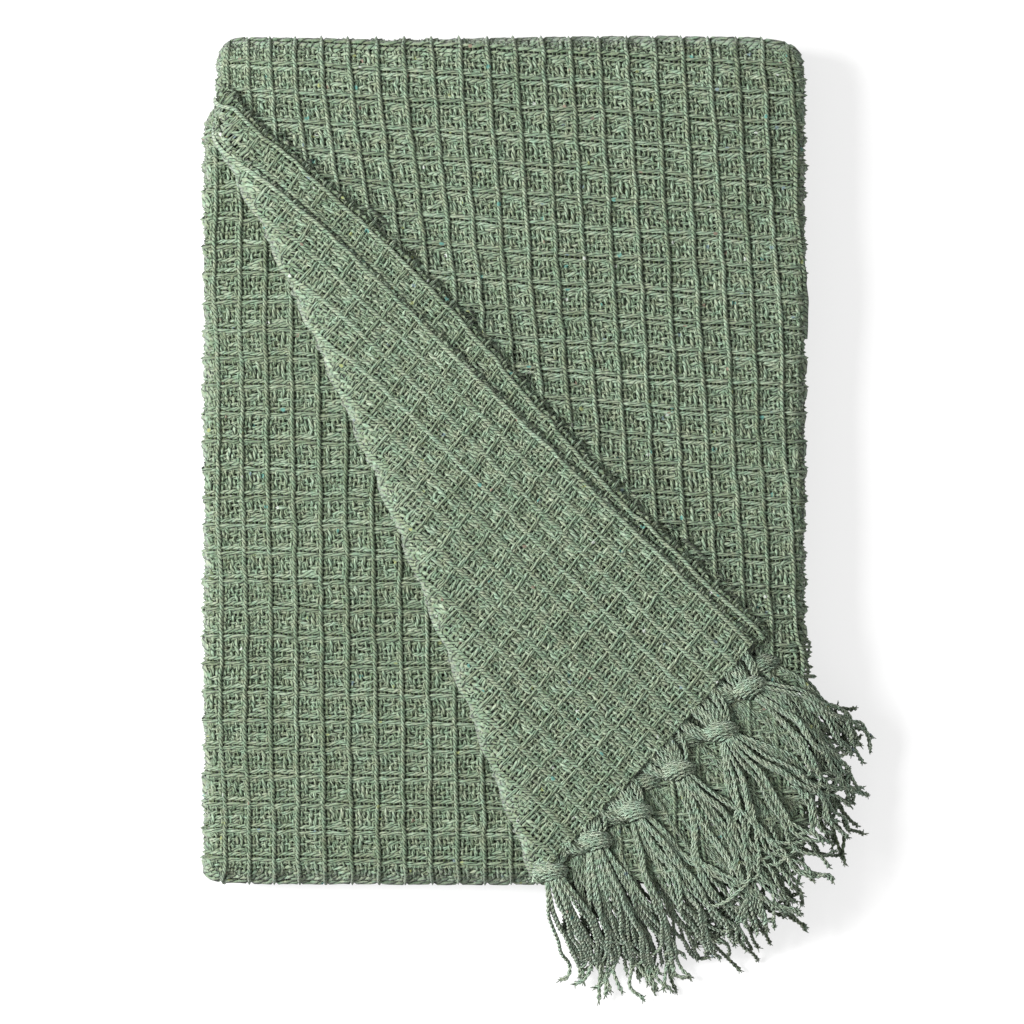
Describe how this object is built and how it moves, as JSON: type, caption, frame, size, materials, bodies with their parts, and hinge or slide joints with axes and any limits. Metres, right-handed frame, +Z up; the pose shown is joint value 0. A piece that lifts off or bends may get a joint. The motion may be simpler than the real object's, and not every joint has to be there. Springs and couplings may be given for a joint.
{
  "type": "waffle weave cotton blanket",
  "caption": "Folded waffle weave cotton throw blanket with one corner turned over and a knotted fringe.",
  "frame": {"origin": "under the middle of the folded blanket's bounding box, on the surface it rests on", "axes": "+Z up, +Y along the pile towards its upper fold, +X towards the side where the fringe hangs out"},
  "size_m": [0.3707, 0.5268, 0.0643],
  "materials": {
    "waffle_cotton": "matte sage green cotton in a deep waffle weave, with pale ridges, darker pockets and small flecks",
    "fringe_cotton": "matte sage green two-ply cotton strands, gathered and knotted"
  },
  "bodies": {
    "root": {"waffle_cloth": "waffle_cotton", "knotted_fringe": "fringe_cotton"}
  },
  "joints": []
}
